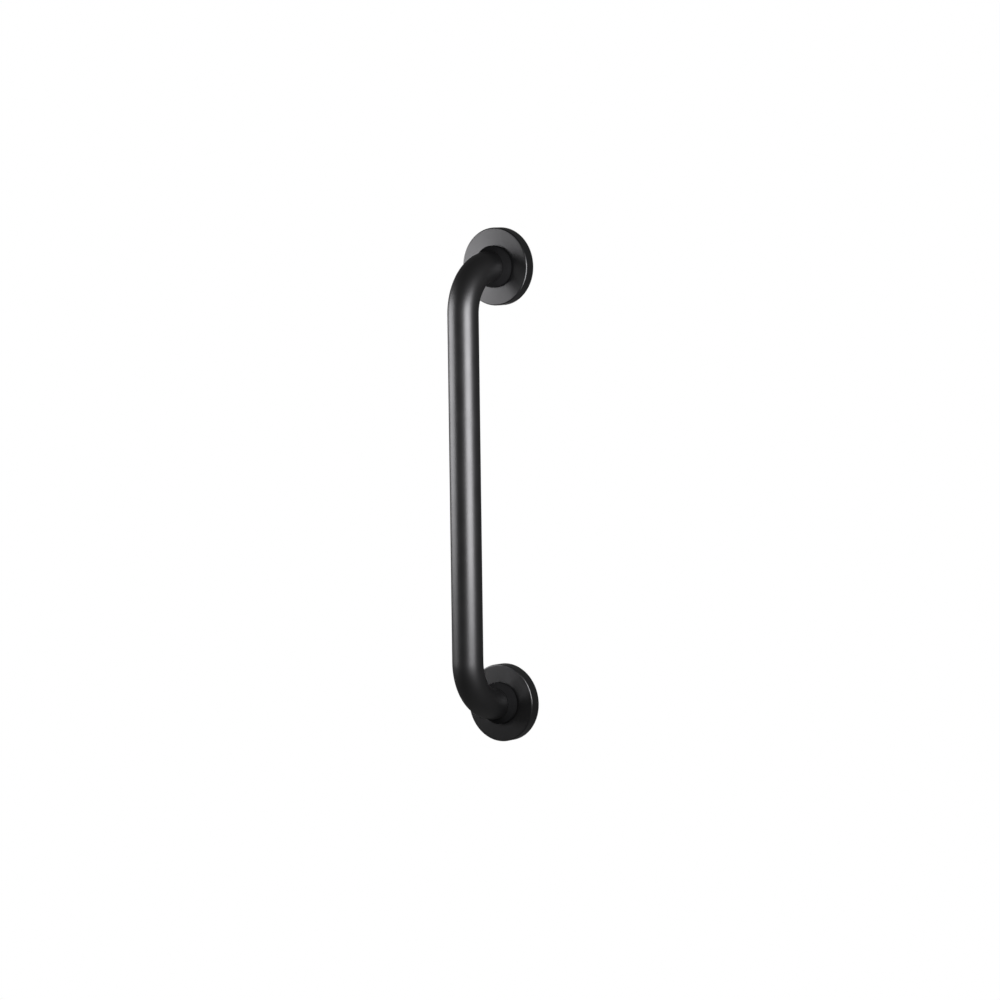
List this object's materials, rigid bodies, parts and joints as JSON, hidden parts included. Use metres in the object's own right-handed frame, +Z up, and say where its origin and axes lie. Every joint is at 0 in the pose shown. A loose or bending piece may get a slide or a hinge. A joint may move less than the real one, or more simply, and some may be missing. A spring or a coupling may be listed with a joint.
{
  "type": "grab bar",
  "caption": "Straight wall-mounted grab bar: a round tube bent back at both ends into collared wall flanges, each hidden by a round cover that slides forward off its screws.",
  "frame": {"origin": "on the wall plane, midway between the two wall fixings", "axes": "+Z up along the bar, +Y into the wall, so that the bar stands off the wall towards -Y, +X to the right as seen from the room"},
  "size_m": [0.08, 0.0848, 0.53],
  "materials": {
    "tube_coating": "satin black powder coat",
    "flange_coating": "matt black powder coat",
    "cover_coating": "satin black powder coat",
    "weld_metal": "weld bead, coated matt black"
  },
  "bodies": {
    "rail": {"rail_tube": "tube_coating", "upper_flange": "flange_coating", "lower_flange": "flange_coating", "upper_weld": "weld_metal", "lower_weld": "weld_metal"},
    "upper_cover": {"upper_cover": "cover_coating"},
    "lower_cover": {"lower_cover": "cover_coating"}
  },
  "joints": [
    {"name": "upper_cover_slide", "type": "slide", "parent": "rail", "child": "upper_cover", "axis": [0, -1, 0], "range_m": [0, 0.025]},
    {"name": "lower_cover_slide", "type": "slide", "parent": "rail", "child": "lower_cover", "axis": [0, -1, 0], "range_m": [0, 0.025]}
  ]
}
